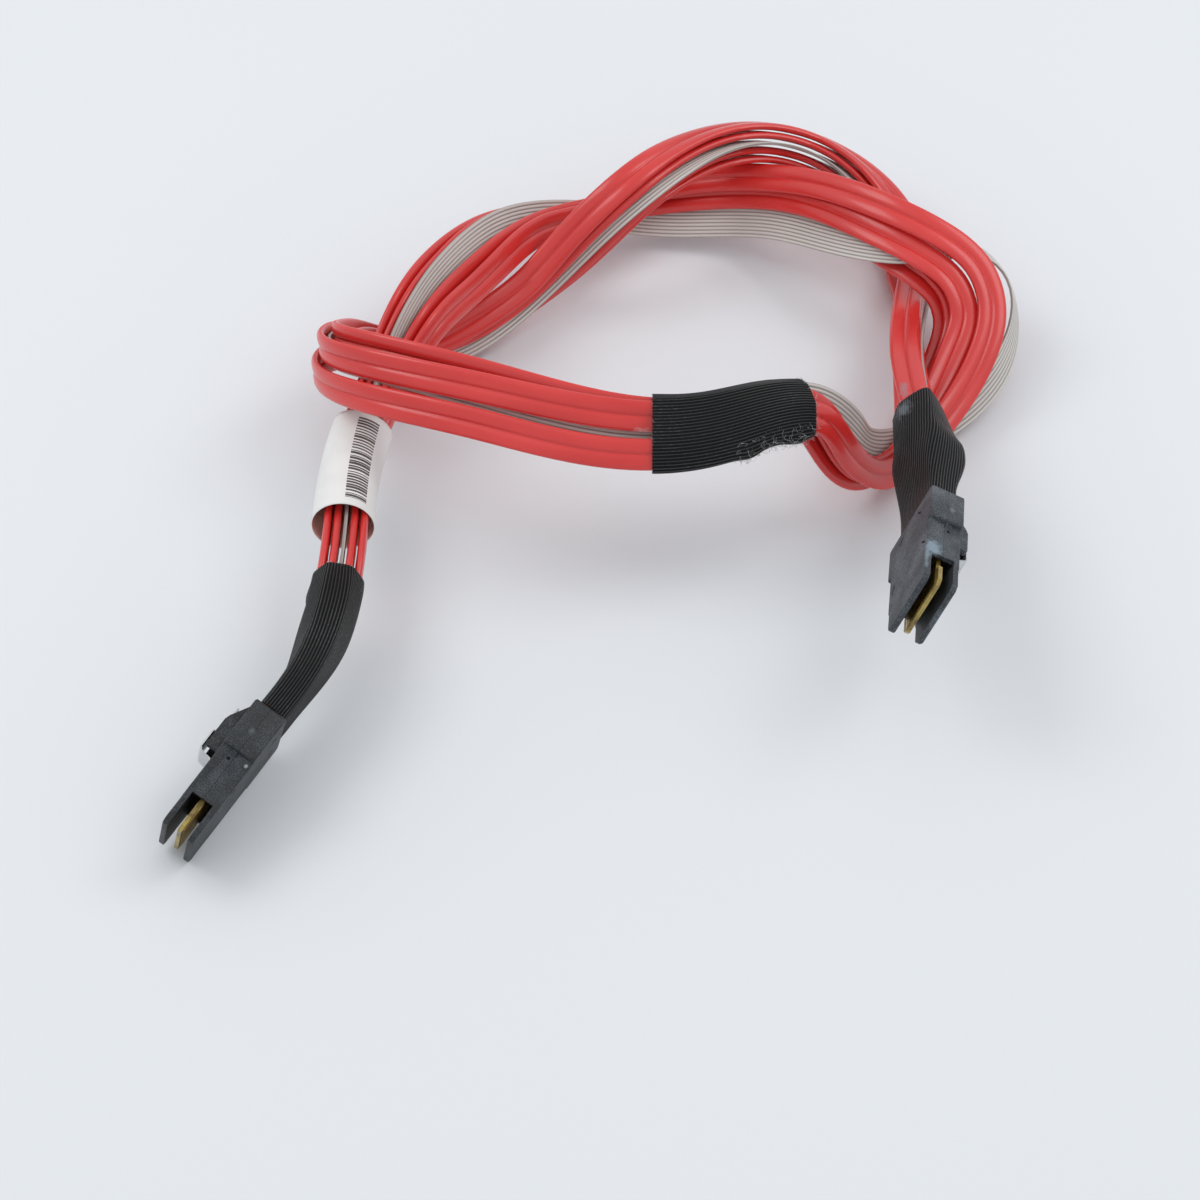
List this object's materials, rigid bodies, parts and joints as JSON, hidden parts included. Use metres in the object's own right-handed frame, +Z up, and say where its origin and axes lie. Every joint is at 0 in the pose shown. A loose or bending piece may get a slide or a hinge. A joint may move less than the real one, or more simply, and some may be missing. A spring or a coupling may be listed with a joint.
{
  "type": "sas cable",
  "caption": "Internal computer data cable: red flat cables and a grey ribbon in black sleeves, looped on itself, with a latching black plug at each end.",
  "frame": {"origin": "on the floor under the middle of the whole part's box", "axes": "+Z up, +Y away from the pictured side, +X to its right"},
  "size_m": [0.2099, 0.2292, 0.0512],
  "materials": {
    "red_pvc": "glossy extruded PVC",
    "grey_pvc": "satin ribbed PVC ribbon",
    "black_braid": "fine woven tube",
    "white_label": "coated wrap label",
    "black_nylon": "moulded, fine texture",
    "card_laminate": "glass laminate with solder mask",
    "gold_plate": "gold plated contact pads",
    "stainless": "bent spring strip",
    "potting": "glue fill"
  },
  "bodies": {
    "root": {"red_flat_1": "red_pvc", "red_flat_2": "red_pvc", "grey_ribbon": "grey_pvc", "red_flat_3": "red_pvc", "red_flat_4": "red_pvc", "sleeve_plug_1": "black_braid", "sleeve_middle": "black_braid", "sleeve_plug_2": "black_braid", "wrap_label": "white_label", "plug_1_plain_shell": "black_nylon", "plug_1_latch_shell": "black_nylon", "plug_1_paddle_card": "card_laminate", "plug_1_contacts_latch_side": "gold_plate", "plug_1_contacts_plain_side": "gold_plate", "plug_1_potting": "potting", "plug_2_plain_shell": "black_nylon", "plug_2_latch_shell": "black_nylon", "plug_2_paddle_card": "card_laminate", "plug_2_contacts_latch_side": "gold_plate", "plug_2_contacts_plain_side": "gold_plate", "plug_2_potting": "potting"},
    "latch_1": {"plug_1_latch": "stainless"},
    "latch_2": {"plug_2_latch": "stainless"}
  },
  "joints": [
    {"name": "latch_1_press", "type": "hinge", "parent": "root", "child": "latch_1", "pos_m": [-0.09335, -0.09229, 0.01448], "axis": [-0.2016, 0.3223, -0.9249], "range_deg": [0, 7], "stiffness_Nm_per_rad": 0.4},
    {"name": "latch_2_press", "type": "hinge", "parent": "root", "child": "latch_2", "pos_m": [0.07477, -0.05172, 0.03517], "axis": [0.3919, 0.188, 0.9006], "range_deg": [0, 7], "stiffness_Nm_per_rad": 0.4}
  ]
}
